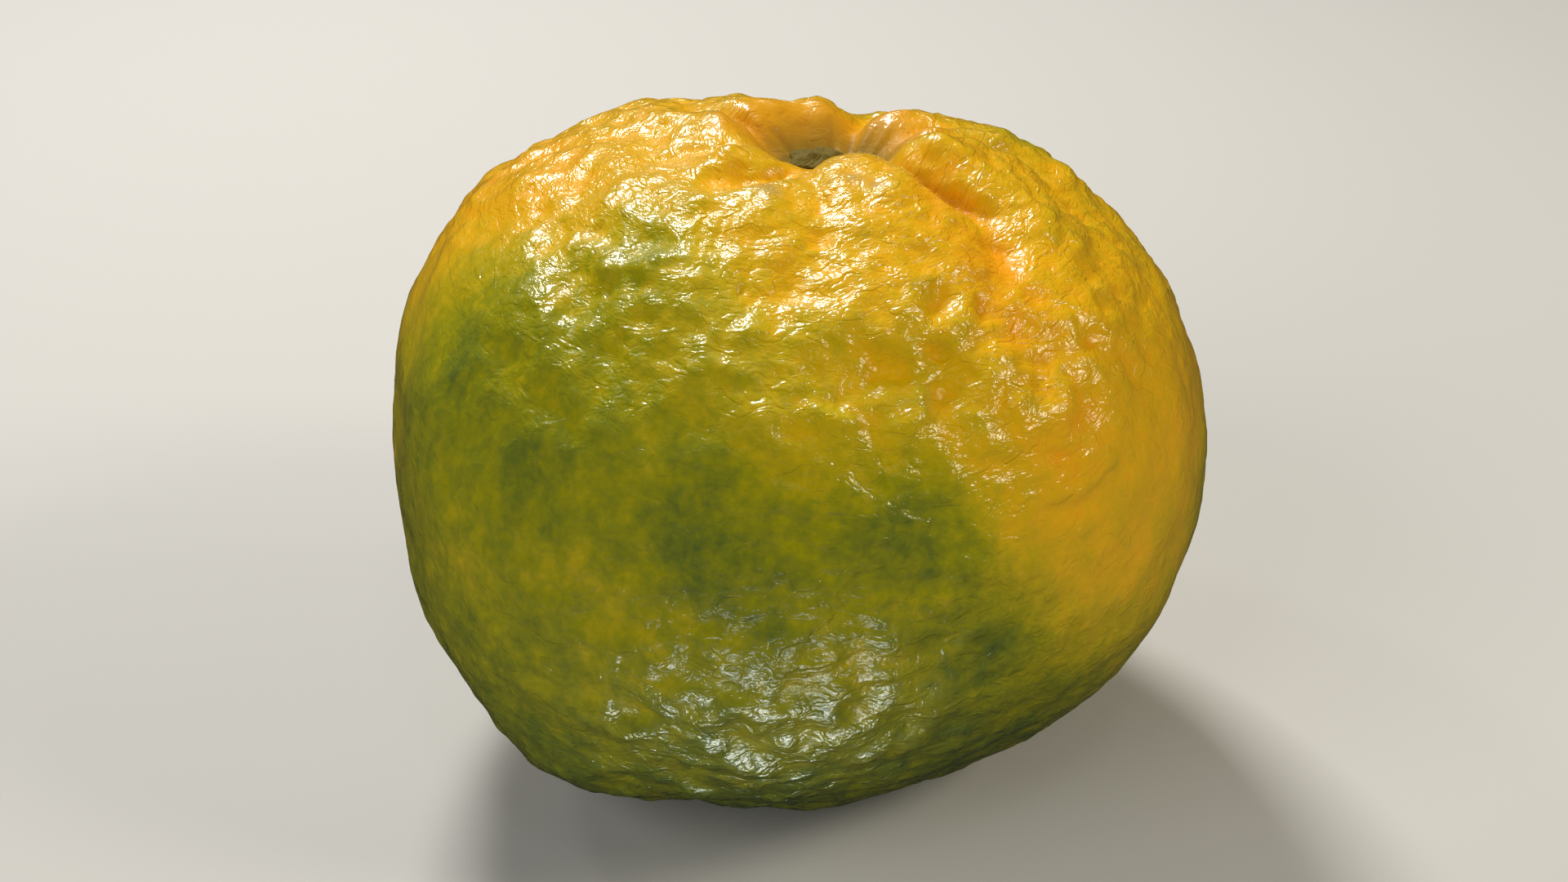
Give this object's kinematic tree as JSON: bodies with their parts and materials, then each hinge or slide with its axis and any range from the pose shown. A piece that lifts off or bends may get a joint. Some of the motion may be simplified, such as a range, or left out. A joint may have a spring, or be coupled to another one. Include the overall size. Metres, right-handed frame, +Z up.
{
  "type": "mandarin orange",
  "caption": "Whole mandarin orange with a puckered stem end and its dried calyx, standing on a small flat spot; fruit to lay on a table, a plate or in a bowl.",
  "frame": {"origin": "on the table, under the middle of the fruit's box, inside the flat spot that the fruit stands on", "axes": "+Z up towards the stem end, +X to the fruit's right and -Y to its front, as the picture shows it"},
  "size_m": [0.0624, 0.06, 0.0519],
  "materials": {
    "rind": "waxy, glossy, finely wrinkled",
    "dry_calyx": "dry, matte"
  },
  "bodies": {
    "root": {"fruit": "rind", "calyx": "dry_calyx"}
  },
  "joints": []
}
